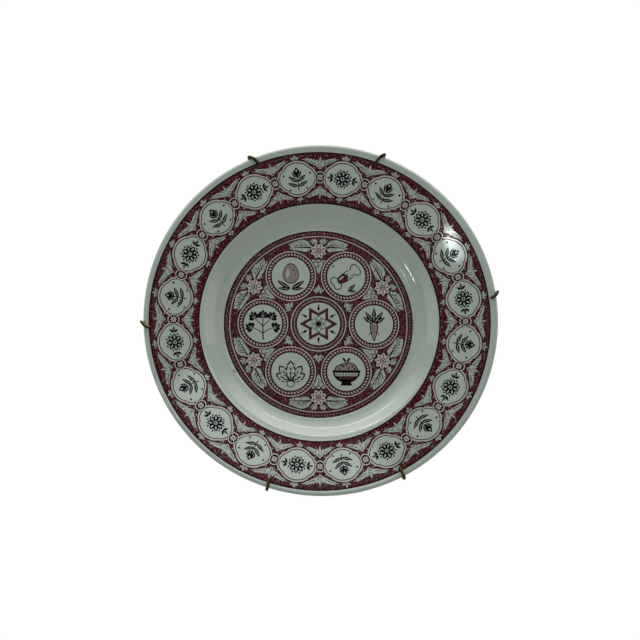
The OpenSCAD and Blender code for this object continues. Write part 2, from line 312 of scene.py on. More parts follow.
def glaze_surface_group():
    """The glaze's mottling, specks, fine crazing and ripples, shared with the inks."""
    n, given, out = group(
        "glaze_surface",
        [("Color", "NodeSocketColor", (0.3, 0.3, 0.3, 1)),
         ("Mottling", "NodeSocketFloat", 0.06), ("Specks", "NodeSocketFloat", 0.5)])
    at = n.at()
    broad, fine = n.noise(at, 22.0, 3.0, 0.55), n.noise(at, 260.0, 3.0, 0.6)
    tone = n.plus(n.about(broad, 0.5, 1.3), n.about(fine, 0.5, 0.7))
    level = n.plus(1.0, n.times(tone, given.outputs["Mottling"]))
    toned = n.vector("SCALE", {0: given.outputs["Color"], "Scale": level})
    rare = n.math("GREATER_THAN", n.noise(at, 70.0, 1.0), 0.63)
    speck = n.times(n.math("LESS_THAN", n.cells(at, 150.0), 0.055), rare)
    spotted = n.mix(n.times(speck, given.outputs["Specks"]), toned, SPECK)
    wobble = n.add("ShaderNodeTexNoise", {"Vector": at, "Scale": 60.0}).outputs[1]
    bent_at = n.vector("ADD", {0: at, 1: n.vector("SCALE", {0: wobble, "Scale": 0.006})})
    edges = n.cells(bent_at, 115.0, feature="DISTANCE_TO_EDGE")
    craze = n.times(n.math("LESS_THAN", edges, 0.012),
                    n.ramp(n.noise(at, 9.0, 2.0), 0.52, 0.68))
    n.feed(out.inputs["Color"], n.mix(n.times(craze, 0.22), spotted, CRACK))
    n.feed(out.inputs["Roughness"], n.plus(0.03, n.times(broad, 0.04)))
    n.feed(out.inputs["Height"], n.plus(n.times(n.noise(at, 16.0, 1.0), 1.0),
                                        n.times(n.noise(at, 420.0, 2.0), 0.012)))
    return n.tree


def wear_group():
    """Patches of dullness, with fine lines along a drawn wire."""
    n, given, out = group(
        "wire_wear",
        [("Rubbed", "NodeSocketColor", (0.6, 0.55, 0.3, 1)),
         ("Dull", "NodeSocketColor", (0.2, 0.17, 0.1, 1)),
         ("Dullness", "NodeSocketFloat", 0.5)])
    run = n.add("ShaderNodeAttribute", attribute_name="run").outputs["Vector"]
    lines = n.noise(n.vector("MULTIPLY", {0: run, 1: (0.06, 9.0, 9.0)}), 1.0, 3.0, 0.7)
    patches = n.ramp(n.noise(n.at(), 160.0, 4.0, 0.65), 0.36, 0.66)
    # The real dull patches, times a dullness that for the brass also holds painted shade,
    # darker higher up.
    share = n.times(patches, given.outputs["Dullness"], clamp=True)
    share = n.plus(share, n.about(lines, 0.5, 0.5), clamp=True)
    n.feed(out.inputs["Color"], n.mix(share, given.outputs["Rubbed"],
                                      given.outputs["Dull"]))
    n.feed(out.inputs["Roughness"], n.plus(0.26, n.times(share, 0.32)))
    n.feed(out.inputs["Height"], n.plus(n.times(lines, 0.5), patches))
    return n.tree


def material(name):
    """A new material, its node helper and its Principled shader."""
    mat = bpy.data.materials.new(name)
    mat.use_nodes = True
    return mat, Nodes(mat.node_tree), mat.node_tree.nodes["Principled BSDF"]


def relief(n, shader, height, distance, strength):
    """Fine relief from a height, in metres where the height is 1."""
    bump = n.add("ShaderNodeBump", {"Height": height, "Distance": distance,
                                    "Strength": strength})
    n.feed(shader.inputs["Normal"], bump.outputs[0])


def finished(n, shader, made, distance, strength):
    """Takes roughness and relief from a placed group."""
    n.feed(shader.inputs["Roughness"], made.outputs["Roughness"])
    relief(n, shader, made.outputs["Height"], distance, strength)


def glazed(name, surface, base, mottling, specks, shine=0.5):
    """A material under the glaze. base is a colour, or a call that makes a socket."""
    mat, n, shader = material(name)
    made = n.add("ShaderNodeGroup", {"Color": base(n) if callable(base) else base,
                                     "Mottling": mottling, "Specks": specks},
                 node_tree=surface)
    n.feed(shader.inputs["Base Color"], made.outputs["Color"])
    finished(n, shader, made, 0.0006, 0.35)
    shader.inputs["IOR"].default_value = 1.5
    shader.inputs["Specular IOR Level"].default_value = shine
    return mat


def stippled(ink, bare):
    """The ground's ink: thick, with small dots and short worms left bare."""
    def base(n):
        at = n.at()
        dots = n.add("ShaderNodeTexVoronoi", {"Vector": at, "Scale": 1150.0,
                                              "Randomness": 0.5}).outputs[0]
        left = n.math("MAXIMUM", n.ramp(dots, 0.30, 0.16),
                      n.ramp(n.noise(at, 700.0, 2.0), 0.60, 0.66))
        return n.mix(n.times(left, 0.34), rgba(ink), rgba(bare))
    return base


def engraved(ink, bare):
    """A thin tint, printed as fine slanting lines."""
    def base(n):
        lines = n.add("ShaderNodeTexWave", {"Vector": n.at(), "Scale": 640.0,
                                            "Distortion": 1.2, "Detail": 1.0},
                      bands_direction="DIAGONAL").outputs[1]
        return n.mix(n.times(n.ramp(lines, 0.35, 0.6), 0.85), rgba(ink), rgba(bare))
    return base


def flecked(ink, bare):
    """Bare glaze under small worn flecks of ink, for the leaves."""
    def base(n):
        flecks = n.ramp(n.noise(n.at(), 620.0, 2.0, 0.6), 0.50, 0.62)
        return n.mix(n.times(flecks, 0.62), rgba(bare), rgba(ink))
    return base


def plate_materials(finish):
    """The plate's materials, in the order of its slots."""
    surface = glaze_surface_group()
    biscuit, n, shader = material("biscuit")
    at = n.at()
    soiled = n.ramp(n.noise(at, 90.0, 4.0), 0.35, 0.75)
    n.feed(shader.inputs["Base Color"], n.mix(soiled, rgba(finish.biscuit),
                                              rgba([c * 0.62 for c in finish.biscuit])))
    shader.inputs["Roughness"].default_value = 0.85
    relief(n, shader, n.noise(at, 1500.0, 3.0, 0.7), 0.0002, 0.6)
    return [
        glazed("glaze", surface, rgba(finish.glaze), 0.10, 0.5),
        glazed("ink_line", surface, rgba(finish.line), 0.5, 0.0, 0.03),
        glazed("ink_ground", surface, stippled(finish.ground, finish.glaze), 0.45, 0.0,
               0.04),
        glazed("ink_tint", surface, engraved(finish.tint, finish.glaze), 0.3, 0.0, 0.15),
        biscuit,
        glazed("ink_blush", surface, rgba(finish.blush), 0.25, 0.0, 0.45),
        glazed("ink_fleck", surface, flecked(finish.ground, finish.glaze), 0.2, 0.0, 0.45),
    ]


# The plate's slots in that order, and an opening that another patch fills.
BARE, LINE, GROUND, TINT, CREST, BLUSH, FLECK, HOLE = range(8)
ROUND = 72           # points on a roundel's circles
OPEN_INSET = 4.9     # from a roundel's edge in to the disc that holds its motif
UP, EIGHTH = math.pi / 2, math.pi / 8


# Flat shapes, in millimetres: lists of outlines, each with its ink --------------

def polar(r, a):
    return (r * math.cos(a), r * math.sin(a))


def disc(x, y, r, n=24, stretch=1.0):
    """A circle, or an ellipse whose width is r and whose height is r * stretch."""
    return [(x + r * math.cos(t), y + r * stretch * math.sin(t))
            for t in (2 * math.pi * i / n for i in range(n))]


def discs(x, y, *layers):
    """Discs on one centre. Each layer is a disc's radius, points and ink."""
    return [(disc(x, y, r, n), ink) for r, n, ink in layers]


def leaf(x, y, angle, long, wide, belly=0.8, steps=7, teeth=0, bend=0.0):
    """A pointed leaf from its foot at x, y. Its edges may have teeth, and it may bend."""
    right, left = [], []
    for i in range(steps + 1):
        t = i / steps
        half = wide / 2 * math.sin(math.pi * t ** belly) ** 0.8 if 0 < i < steps else 0.0
        if teeth and 0 < i < steps:
            half *= 1.0 - 0.34 * ((i * teeth / steps) % 1.0)
        side = bend * long * t * t
        right.append((t * long, side - half))
        left.append((t * long, side + half))
    pts = right + left[-2:0:-1]
    c, s = math.cos(angle), math.sin(angle)
    return [(x + px * c - py * s, y + px * s + py * c) for px, py in pts]


def stroke(points, start, end):
    """A tapering line through points, start wide at one end and end at the other."""
    p = np.array(points, float)
    t = np.gradient(p, axis=0)
    t /= np.linalg.norm(t, axis=1)[:, None]
    side = np.stack([-t[:, 1], t[:, 0]], 1)
    w = np.linspace(start, end, len(p))[:, None] / 2
    return [tuple(v) for v in np.vstack([p - side * w, (p + side * w)[::-1]])]


def rib(x, y, angle, long, bend, shares, start, end):
    """The rib of a leaf, through these shares of its length."""
    c, s = math.cos(angle), math.sin(angle)
    return stroke([(x + long * t * c - bend * long * t * t * s,
                    y + long * t * s + bend * long * t * t * c) for t in shares],
                  start, end)


def moved(shapes, x=0.0, y=0.0, turn=0.0, size=1.0, flip=1):
    """The shapes, sized, turned and moved. flip -1 mirrors them left to right first."""
    c, s = math.cos(turn) * size, math.sin(turn) * size
    return [([(x + px * flip * c - py * s, y + px * flip * s + py * c)
              for px, py in pts], ink) for pts, ink in shapes]


def both_sides(shapes):
    """The shapes, and the same mirrored left to right."""
    return moved(shapes) + moved(shapes, flip=-1)


def lobed(wide, high, lobes, depth, grow):
    """A lobed oval's outline, grown outward by grow."""
    pts = []
    for i in range(ROUND):
        a = 2 * math.pi * i / ROUND
        swell = 1.0 - depth * (1 - abs(math.cos(lobes * a / 2)) ** 0.6)
        pts.append(((wide + grow) * math.cos(a) * swell,
                    (high + grow) * math.sin(a) * swell))
    return pts


def petals(count, r_in, long, wide, ink, belly=0.8, turn=0.0):
    """A ring of petals round the middle."""
    angles = [turn + 2 * math.pi * i / count for i in range(count)]
    return [(leaf(*polar(r_in, a), a, long, wide, belly), ink) for a in angles]


def veined(x, y, angle, long, wide, teeth=0, steps=9):
    """A pale flecked leaf with a dark rib."""
    return [(leaf(x, y, angle, long, wide, 0.75, steps, teeth), FLECK),
            (rib(x, y, angle, long, 0.0, (0.08, 0.3, 0.55, 0.8), wide * 0.13,
                 wide * 0.05), LINE)]


def inked(x, y, angle, long, wide, teeth=0, bend=0.0, steps=7):
    """A dark leaf with a pale rib."""
    return [(leaf(x, y, angle, long, wide, 0.8, steps, teeth, bend), LINE),
            (rib(x, y, angle, long, bend, (0.2, 0.5, 0.8), wide * 0.14, wide * 0.06),
             BARE)]


def outlined(shapes, rim):
    """Pale convex shapes with one dark outline round them all, rim wide."""
    made = []
    for grow, ink in ((rim, LINE), (0.0, BARE)):
        for pts in shapes:
            cx = sum(p[0] for p in pts) / len(pts)
            cy = sum(p[1] for p in pts) / len(pts)
            out = []
            for px, py in pts:
                d = math.hypot(px - cx, py - cy) or 1.0
                out.append((px + (px - cx) * grow / d, py + (py - cy) * grow / d))
            made.append((out, ink))
    return made


def sprig(size):
    """An upright spray: a bud over three pairs of leaves, in dark ink."""
    made = [(stroke([(0, -0.95 * size), (0.03 * size, -0.3 * size), (0, 0.45 * size)],
                    0.10 * size, 0.07 * size), LINE)]
    for y, long, tilt in ((-0.62, 0.98, 0.26), (-0.24, 0.92, 0.50), (0.12, 0.64, 0.80)):
        made += both_sides(inked(0, y * size, tilt, long * size, 0.31 * size, bend=0.13))
    made += [(leaf(0, 0.36 * size, UP, 0.62 * size, 0.40 * size, 0.7), LINE),
             (leaf(0, 0.46 * size, UP, 0.36 * size, 0.13 * size), BARE)]
    return made + both_sides([(leaf(0, 0.38 * size, 1.0, 0.46 * size, 0.2 * size), LINE),
                              (disc(1.12 * size, 0.42 * size, 0.09 * size, 8), LINE),
                              (disc(0.78 * size, -0.86 * size, 0.09 * size, 8), LINE)])


def rosette(size):
    """An open flower of eight petals between two sprays of leaves, in dark ink."""
    made = petals(8, 0.17 * size, 0.62 * size, 0.42 * size, LINE, 0.95)
    made += petals(8, 0.30 * size, 0.36 * size, 0.13 * size, BARE, 0.9)
    made += petals(8, 0.66 * size, 0.20 * size, 0.16 * size, LINE, 0.9, EIGHTH)
    made += discs(0, 0, (0.24 * size, 16, LINE), (0.16 * size, 12, BARE),
                  (0.09 * size, 8, LINE))
    side = inked(0.86 * size, 0, 0.0, 0.60 * size, 0.24 * size)
    for tilt in (0.85, -0.85):
        side.append((leaf(0.88 * size, 0.06 * size * tilt, tilt, 0.46 * size, 0.2 * size),
                     LINE))
    return made + both_sides(side)


def egg():
    """A roasted egg over two crossed leaves."""
    def shell(k):
        return [(4.7 * k * math.cos(t) * (1 - 0.13 * math.sin(t)),
                 1.6 + 6.1 * k * math.sin(t))
                for t in (math.pi * i / 18 for i in range(36))]
    made = both_sides(inked(0.4, -7.2, 0.42, 8.8, 2.6, bend=0.14)
                      + inked(0.4, -7.6, 0.02, 7.4, 2.0, bend=0.06))
    return made + [(shell(1.0), LINE), (shell(0.91), TINT),
                   (leaf(-2.2, -1.6, 1.45, 6.2, 1.9, 1.0), BARE),
                   (disc(1.7, 3.4, 0.35, 6), LINE), (disc(2.5, 0.6, 0.3, 6), LINE),
                   (disc(0.6, -1.6, 0.3, 6), LINE)]


def bone():
    """A shank bone, laid aslant over a leaf."""
    made = outlined([disc(-6.9, 1.7, 1.9, 14), disc(-6.9, -1.5, 1.9, 14),
                     disc(6.4, 1.5, 1.7, 14), disc(6.6, -1.4, 1.6, 14),
                     leaf(-8.6, 0, 0, 17.6, 4.3, 1.0, 12)], 0.55)
    made += [(stroke([(-5.6, -0.9), (0, -1.25), (5.0, -0.8)], 0.75, 0.4), TINT),
             (stroke([(-5.0, 0.6), (-1.0, 0.85), (2.6, 0.6)], 0.35, 0.2), LINE),
             (disc(-2.4, 0.1, 3.4, 20, 0.72), LINE),
             (disc(-2.4, 0.15, 2.8, 18, 0.70), GROUND),
             (leaf(-4.4, 0.7, 0.12, 3.6, 0.9), BARE)]
    below = inked(3.0, -8.2, 0.75, 6.0, 2.0) + inked(3.0, -8.2, -0.05, 5.2, 1.7)
    below.append((disc(-5.6, 6.4, 0.6, 8), LINE))
    return moved(made, turn=0.62, size=1.04) + moved(below, -2.0, -0.4)


def root():
    """A bitter root with its crown of leaves."""
    made = []
    for tilt, long in ((0.55, 7.6), (0.95, 9.0), (1.57, 9.8), (2.19, 9.0), (2.59, 7.6)):
        made += inked(0, 0.2, tilt, long, 2.9, 2, 0.0, 9)
    made += [(leaf(0, 1.9, -UP, 12.4, 4.9, 0.55, 10), LINE),
             (leaf(0, 1.2, -UP, 10.6, 3.7, 0.55, 10), TINT)]
    for y, w in ((-0.9, 1.5), (-2.6, 1.3), (-4.4, 0.9)):
        made.append((stroke([(-w, y), (0, y - 0.35), (w * 0.6, y - 0.1)], 0.35, 0.25),
                     LINE))
    return made + both_sides([(stroke([(1.2, -4.6), (2.7, -5.6), (3.2, -7.2)], 0.6, 0.2),
                               LINE)])


def bowl():
    """A footed bowl heaped with sweet paste."""
    heap = [(7.0 * math.cos(t), 0.6 + 4.9 * math.sin(t) * (1 - 0.1 * math.cos(3 * t)))
            for t in (math.pi * i / 16 for i in range(17))]
    half = [(-8.2, 0.9), (-7.4, -2.4), (-5.2, -4.9), (-2.6, -6.1), (-3.4, -8.0)]
    made = [(heap, LINE), ([(x * 0.9, 0.6 + (y - 0.6) * 0.88) for x, y in heap], TINT)]
    for x, y in ((-4.0, 2.0), (-1.6, 3.2), (1.2, 2.2), (3.4, 3.0), (0.2, 4.2), (-2.8, 3.6),
                 (4.8, 1.8)):
        made.append((disc(x, y, 0.55, 7), LINE))
    made += [(half + [(-x, y) for x, y in half[::-1]], LINE),
             ([(-6.9, -0.6), (-6.1, -2.5), (6.1, -2.5), (6.9, -0.6)], BARE),
             ([(-5.0, -3.2), (-3.6, -4.4), (3.6, -4.4), (5.0, -3.2)], GROUND)]
    for i in range(-3, 4):
        made.append((leaf(i * 1.75 - 0.5, -2.3, 1.1, 1.6, 0.8, 1.0, 4), LINE))
    return made + both_sides([(leaf(0.2, 5.6, 0.95, 3.6, 1.3), LINE)])


def herb():
    """A spray of parsley."""
    made = [(stroke([(0.2, -9.4), (0, -4.0), (0, 4.0)], 0.8, 0.5), LINE)]
    made += both_sides([(stroke([(0, -5.6), (3.0, -3.6), (5.6, -2.6)], 0.6, 0.4), LINE),
                        (stroke([(0, -1.6), (2.6, 1.0), (4.4, 2.8)], 0.6, 0.4), LINE)])
    tuft = [(leaf(0, 0, UP + tilt, 4.9 - 1.1 * abs(tilt), 2.3, 1.15, 9, 3), LINE)
            for tilt in (-1.15, -0.55, 0.0, 0.55, 1.15)]
    tuft.append((stroke([(0, 0.4), (0, 3.2)], 0.35, 0.15), BARE))
    for tilt in (-0.8, 0.8):
        tuft.append((stroke([(0, 0.5), (-2.0 * math.sin(tilt), 2.2 * math.cos(tilt))],
                            0.3, 0.12), BARE))
    for x, y, turn in ((0, 3.4, 0.0), (6.0, -2.8, -1.1), (-6.0, -2.8, 1.1),
                       (4.6, 2.8, -0.5), (-4.6, 2.8, 0.5)):
        made += moved(tuft, x, y, turn)
    return made


def lettuce():
    """An open head of lettuce."""
    made = []
    x, y = 0.0, -6.4
    for tilt, long, wide in ((0.55, 8.6, 5.6), (2.59, 8.6, 5.6), (0.98, 10.6, 6.0),
                             (2.16, 10.6, 6.0), (1.57, 11.6, 6.6)):
        c, s = math.cos(tilt), math.sin(tilt)
        made += [(leaf(x, y, tilt, long + 1.4, wide, 1.25, 12, 5), LINE),
                 (leaf(x + 0.8 * c, y + 0.8 * s, tilt, long - 0.5, wide * 0.76, 1.25, 10,
                       4), BARE),
                 (stroke([(x + c, y + s), (x + long * 0.8 * c, y + long * 0.8 * s)], 0.9,
                         0.25), LINE)]
        for t, k in ((0.42, 1), (0.42, -1), (0.66, 1), (0.66, -1)):
            a = tilt + 0.75 * k
            bx, by = x + long * t * c, y + long * t * s
            made.append((stroke([(bx, by),
                                 (bx + 1.9 * math.cos(a), by + 1.9 * math.sin(a))],
                                0.45, 0.2), LINE))
    return made + outlined([disc(0, -7.2, 1.9, 14, 0.8)], 0.45)


# The six foods, from the roundel at the right round to the left.
FOODS = (root, bone, egg, herb, lettuce, bowl)


def medallion(motif):
    """A lobed oval with a pale double border round a dark motif."""
    return [(lobed(14.1, 12.4, 4, 0.09, grow), ink) for grow, ink in
            ((0.6, LINE), (0.0, BLUSH), (-1.1, LINE), (-1.75, BARE))] + motif


def trefoil(size):
    """Three small leaves on a bead, pointing up."""
    made = []
    for tilt in (-0.95, 0.95, 0.0):
        made += veined(0, 0, UP + tilt, size * (1.0 - 0.1 * abs(tilt)), size * 0.46)
    return made + discs(0, 0, (0.95, 10, LINE), (0.6, 8, BLUSH))


def link():
    """The ring between two medallions, with a four-leaved flower."""
    made = [(disc(0, 0, 5.4, 28, 1.15), LINE), (disc(0, 0, 5.0, 28, 1.15), BLUSH),
            (disc(0, 0, 4.1, 24, 1.16), LINE)]
    made += petals(4, 0.3, 3.2, 1.5, BLUSH, 0.9, math.pi / 4)
    made += petals(4, 0.3, 3.3, 0.8, BLUSH, 0.9)
    return made + discs(0, 0, (1.0, 10, LINE), (0.5, 8, BLUSH))


def scroll(x, y, r, start, turn, wide):
    """A pale scroll that winds inward from x, y, with a dark line along it and a bud
    at its inner end."""
    steps, shrink = 18, 0.62
    cx, cy = x - r * math.cos(start), y - r * math.sin(start)
    line = []
    for i in range(steps + 1):
        t = i / steps
        rr = r * (1 - shrink * t)
        a = start + turn * t
        line.append((cx + rr * math.cos(a), cy + rr * math.sin(a)))
    return [(stroke(line, wide, wide * 0.45), BLUSH),
            (stroke(line[1:-2], wide * 0.2, wide * 0.1), LINE),
            *discs(*line[-1], (wide * 0.62, 10, BLUSH), (wide * 0.25, 6, LINE))]


def acanthus(x, y, angle, long, wide, bend, lobes=4):
    """A long pale leaf with drooping lobes on its outer edge, smaller ones within,
    and a dark midrib."""
    s = 1 if bend > 0 else -1

    def lobe(i, first, spread):
        """Where a lobe leaves the midrib, the midrib's slant there and the lobe's size."""
        t = first + spread * i / lobes
        return (long * t, bend * long * t * t, math.atan(2 * bend * t),
                wide * (1.0 - 0.45 * i / lobes))

    made = []
    for i in range(lobes):
        px, py, slant, size = lobe(i, 0.16, 0.66)
        for side, tilt, share in ((-s, 0.75, 1.0), (s, 0.55, 0.62)):
            made.append((leaf(px, py, slant + side * tilt, size * share * 1.25,
                              size * 0.62, 0.9, 6, 0, -0.25 * side), FLECK))
    made.append((leaf(0, 0, 0, long, wide * 0.62, 0.7, 10, 0, bend), FLECK))
    middle = [(long * t, bend * long * t * t) for t in (i / 10 for i in range(1, 10))]
    made.append((stroke(middle, wide * 0.16, wide * 0.05), LINE))
    for i in range(lobes):
        px, py, slant, size = lobe(i, 0.2, 0.62)
        a = slant - s * 0.75
        made.append((stroke([(px + size * k * math.cos(a), py + size * k * math.sin(a))
                             for k in (0.2, 0.8)], wide * 0.09, wide * 0.03), LINE))
    return moved(made, x, y, angle)


def spandrel(tall):
    """The filling between two medallions and the rim's edge: a palmette between two
    leaves that follow the medallions' outlines. It opens upward from y = 0."""
    k = tall / 16
    made = both_sides(acanthus(1.6, 5.0 * k, 0.62, 16.0, 4.2, -0.17)
                      + scroll(4.6, 2.6 * k, 2.3, 2.6, -4.4, 1.0))
    for tilt in (-0.85, 0.85, -0.42, 0.42, 0.0):
        made += veined(0, 3.4 * k, UP + tilt, (10.0 - 4.4 * abs(tilt)) * k, 2.7)
    return made + discs(0, 3.4 * k, (1.9, 14, LINE), (1.45, 12, BLUSH), (0.65, 8, LINE))


def bouquet():
    """The filling between two roundels and the border: a flower over curling leaves."""
    made = both_sides(acanthus(3.4, 8.2, 0.12, 17.5, 7.6, -0.15, 5)
                      + acanthus(1.4, -0.6, -0.62, 7.4, 4.2, 0.10, 2)
                      + acanthus(1.2, 9.6, 1.0, 6.4, 3.6, -0.35, 2))
    made += veined(0, -0.4, -UP, 10.2, 4.2, steps=12) + discs(0, 6.2, (6.0, 24, LINE))
    made += moved(petals(8, 1.0, 5.0, 3.3, BLUSH, 1.0, EIGHTH)
                  + petals(8, 2.4, 2.6, 0.7, LINE, 0.9, EIGHTH), 0, 6.2)
    made += discs(0, 6.2, (2.1, 12, LINE), (1.5, 12, BLUSH), (0.75, 8, LINE))
    return made + discs(0, -1.0, (1.6, 12, LINE), (1.0, 10, BLUSH))


def roundel(r):
    """A round place for one of the six foods: a beaded dark ring round an open disc."""
    made = discs(0, 0, *((r - inset, ROUND, ink) for inset, ink in (
        (0.0, LINE), (0.5, BLUSH), (1.3, LINE), (1.8, GROUND), (4.3, LINE))))
    beads = 44
    for i in range(beads):
        a = 2 * math.pi * i / beads
        made.append((leaf(*polar(r - 3.8, a - 0.04), a + 0.7, 2.1, 1.1, 1.0, 4), BLUSH))
    return made + discs(0, 0, (r - OPEN_INSET, ROUND, HOLE))


def star(sector):
    """The middle: a woven six-pointed star round a small flower, one sixth of it."""
    made = []
    half = sector / 2
    for k in (-1, 1):
        made += moved([(leaf(0, 0, 0, 3.6, 1.7, 0.9), LINE)], *polar(9.4, k * half),
                      turn=k * half)
        made.append((disc(*polar(13.4, k * half), 0.55, 8), LINE))
    for out, ink in ((13.6, LINE), (12.8, GROUND), (10.4, LINE), (9.6, BARE)):
        dent = out / math.sqrt(3)
        made.append(([(0.0, 0.0), polar(dent, -half), polar(out, 0.0),
                      polar(dent, half)], ink))
    for out, ink in ((5.6, LINE), (5.1, BARE)):
        made.append(([(0.0, 0.0), polar(out, -half), polar(out, half)], ink))
    return made + [(leaf(0, 0, 0, 4.3, 2.0, 1.0), LINE),
                   (leaf(1.4, 0, 0, 2.3, 0.8, 1.0), BARE),
                   ([(0.0, 0.0), polar(1.3, -half), polar(1.3, 0), polar(1.3, half)],
                    LINE)]


# Cutting the print into the glaze -------------------------------------------

def turning(pts):
    """Twice the signed area of a closed outline."""
    a = np.array(pts, float)
    b = np.roll(a, -1, 0)
    return float(np.sum(a[:, 0] * b[:, 1] - a[:, 1] * b[:, 0]))


def cut(domain, shapes, spots):
    """Triangles of the domain, each with the ink of the last shape that covers it."""
    coords, faces = [], []
    for pts in [domain] + [s[0] for s in shapes]:
        if turning(pts) < 0:
            pts = pts[::-1]
        faces.append(list(range(len(coords), len(coords) + len(pts))))
        coords += pts
    coords += spots
    got = delaunay_2d_cdt([Vector(c) for c in coords], [], faces, 0, 1e-6, True)
    verts, tris, owners = got[0], got[2], got[5]
    kept = [(t, BARE if max(o) == 0 else shapes[max(o) - 1][1])
            for t, o in zip(tris, owners) if 0 in o and len(t) == 3]
    kept = [(t, ink) for t, ink in kept if ink != HOLE]
    return (np.array([tuple(v) for v in verts], float),
            np.array([t for t, _ in kept], int), [ink for _, ink in kept])


def rim_sector(rim, steps, low, high):
    """Two medallions' worth of the rim's print, unrolled: x runs round, y outward. The
    last value is its length along x."""
    mid = rim.rim_mid
    period = 2 * math.pi * mid / rim.pairs
    half, quarter = period / 2, period / 4
    xs = [-half + period * i / steps for i in range(steps + 1)]

    def band(inset, ink):
        return ([(x, rim.rim_in + inset) for x in xs]
                + [(x, rim.rim_out - inset) for x in reversed(xs)], ink)

    small = 0.74     # size of what lies between two medallions
    parts = []
    for k in (0, 2):
        for reach, turn, way in ((rim.rim_out - mid, 0.0, 1),
                                 (mid - rim.rim_in, math.pi, -1)):
            parts += moved(spandrel((reach - 5.4) / small), k * quarter, mid + 4.2 * way,
                           turn, small)
    for k, motif in ((-1, sprig(8.2)), (1, rosette(7.9))):
        for turn, way in ((0.0, 1), (math.pi, -1)):
            parts += moved(trefoil(3.6), k * quarter, mid + 13.0 * way, turn)
        parts += moved(medallion(motif), k * quarter, mid)
    for k in (0, 2):
        parts += moved(link(), k * quarter, mid, size=small)

    shapes = [band(0.0, LINE), band(0.9, GROUND)]
    for pts, ink in parts:
        for shift in (-period, 0.0, period):
            copy = [(x + shift, y) for x, y in pts]
            if min(x for x, _ in copy) < half and max(x for x, _ in copy) > -half:
                shapes.append((copy, ink))
    sides = [low + (high - low) * i / 16 for i in range(1, 16)]
    domain = ([(x, low) for x in xs] + [(half, y) for y in sides]
              + [(x, high) for x in reversed(xs)] + [(-half, y) for y in reversed(sides)])
    shoulder = [low + 0.55 * i for i in range(1, 8)]
    spots = ([(x, y) for x in xs[1:-1] for y in shoulder]
             + [(x, y) for x in xs[2:-2:2] for y in sides[2:]])
    return domain, shapes, spots, period


def well_sector(sizes, steps, high):
    """One roundel's wedge of the well's print. The roundel lies along x."""
    sector = math.pi / 3
    low, edge = -sector / 2, sizes.well_out
    angles = [low + sector * i / steps for i in range(steps + 1)]

    def wedges(*layers):
        return [([(0.0, 0.0)] + [polar(r, a) for a in angles], ink) for r, ink in layers]

    def beads(at, count, r):
        return [(disc(*polar(at, sector * i / (2 * count)), r, 8), TINT)
                for i in range(-count, count + 1)]

    spray = []
    for tilt in (-1.0, -0.45, 0.45, 1.0):
        spray += veined(0, 0, UP + tilt, 5.0, 2.0, 2)
    spray += veined(0, 0, UP, 6.4, 2.4, 2) + discs(0, 0, (0.9, 10, LINE))

    shapes = wedges((edge, LINE), (edge - 0.7, GROUND), (edge - 3.4, LINE),
                    (edge - 3.8, BLUSH), (edge - 4.5, LINE), (edge - 4.9, GROUND))
    shapes += beads(edge - 2.05, 16, 0.42)
    for k in (-1, 1):
        at = k * sector / 2
        shapes += moved(bouquet(), *polar(46.5, at), at - UP)
        shapes += moved(spray, *polar(22.0, at), at - UP)
    shapes += moved(roundel(sizes.roundel_r), sizes.roundel_at, 0.0)
    shapes += wedges((20.3, LINE), (19.8, BLUSH), (19.0, LINE), (18.5, GROUND),
                     (15.9, LINE), (15.3, BARE))
    shapes += beads(17.2, 6, 0.6) + star(sector)

    sides = [high * i / 24 for i in range(1, 24)]
    domain = ([(0.0, 0.0)] + [polar(r, low) for r in sides]
              + [polar(high, a) for a in angles]
              + [polar(r, sector / 2) for r in reversed(sides)])
    spots = []
    for r in sides[3:] + [edge + 0.9 * i for i in range(1, 7)]:
        count = max(2, int(r * sector / (2.8 if r < edge else 1.8)))
        spots += [polar(r, low + sector * i / count) for i in range(1, count)]
    return domain, shapes, spots


def food_patch(r, motif, turn):
    """The disc inside a roundel, with its motif upright once the disc has been turned."""
    open_r, step, margin = r - OPEN_INSET, 2.5, 1.2
    spots = [(step * x, step * y) for x in range(-5, 6) for y in range(-5, 6)
             if math.hypot(x, y) * step < open_r - margin]
    return cut(disc(0, 0, open_r, ROUND), moved(motif(), turn=-turn, size=1.22), spots)


# The plate's mesh -------------------------------------------------------------

# The face's printed patches, from one radius to another, and how wide the strips at
# their two ends are in which they ease back onto the plate's centre.
WELL_PATCH, WELL_EASE = (0, 72.6), (1, 3.6)
RIM_PATCH, RIM_EASE = (80.4, 122.4), (4.2, 1.9)
QUARTERS = (0.25, 0.5, 0.75, 1.0)


